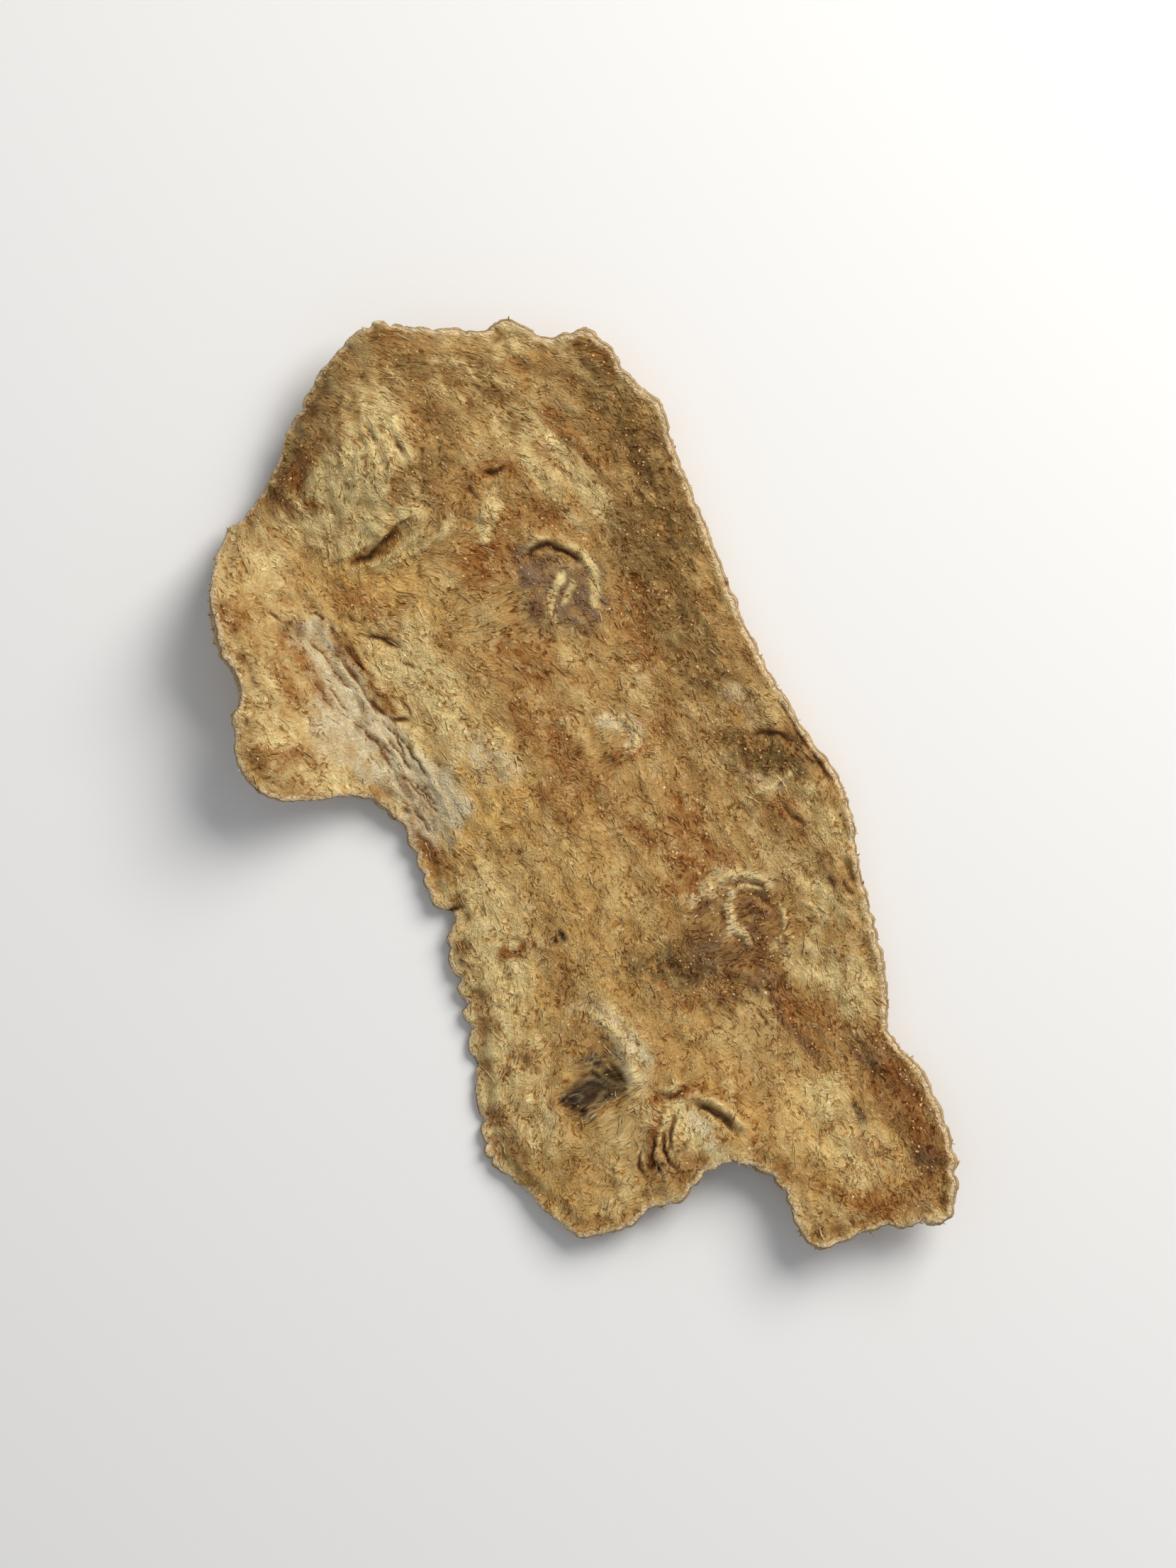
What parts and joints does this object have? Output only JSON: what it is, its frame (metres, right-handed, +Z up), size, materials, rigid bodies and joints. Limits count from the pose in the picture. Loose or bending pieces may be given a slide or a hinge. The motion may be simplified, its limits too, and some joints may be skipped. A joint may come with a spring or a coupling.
{
  "type": "dried angelica root slice",
  "caption": "Thin wavy slice of dried angelica root, cut lengthwise, with a turned-up flap, knot scars and a forked lower end. It lies flat on a surface.",
  "frame": {"origin": "middle of the slice's outline, on the surface that it lies on", "axes": "+Y along the root towards its crown end, +Z up out of the better cut face, +X across the slice towards its straight bark edge"},
  "size_m": [0.045, 0.087, 0.0083],
  "materials": {
    "dried_root": "dull, fibrous, mottled tan with cream and brown flecks"
  },
  "bodies": {
    "root": {"root_slice": "dried_root"}
  },
  "joints": []
}
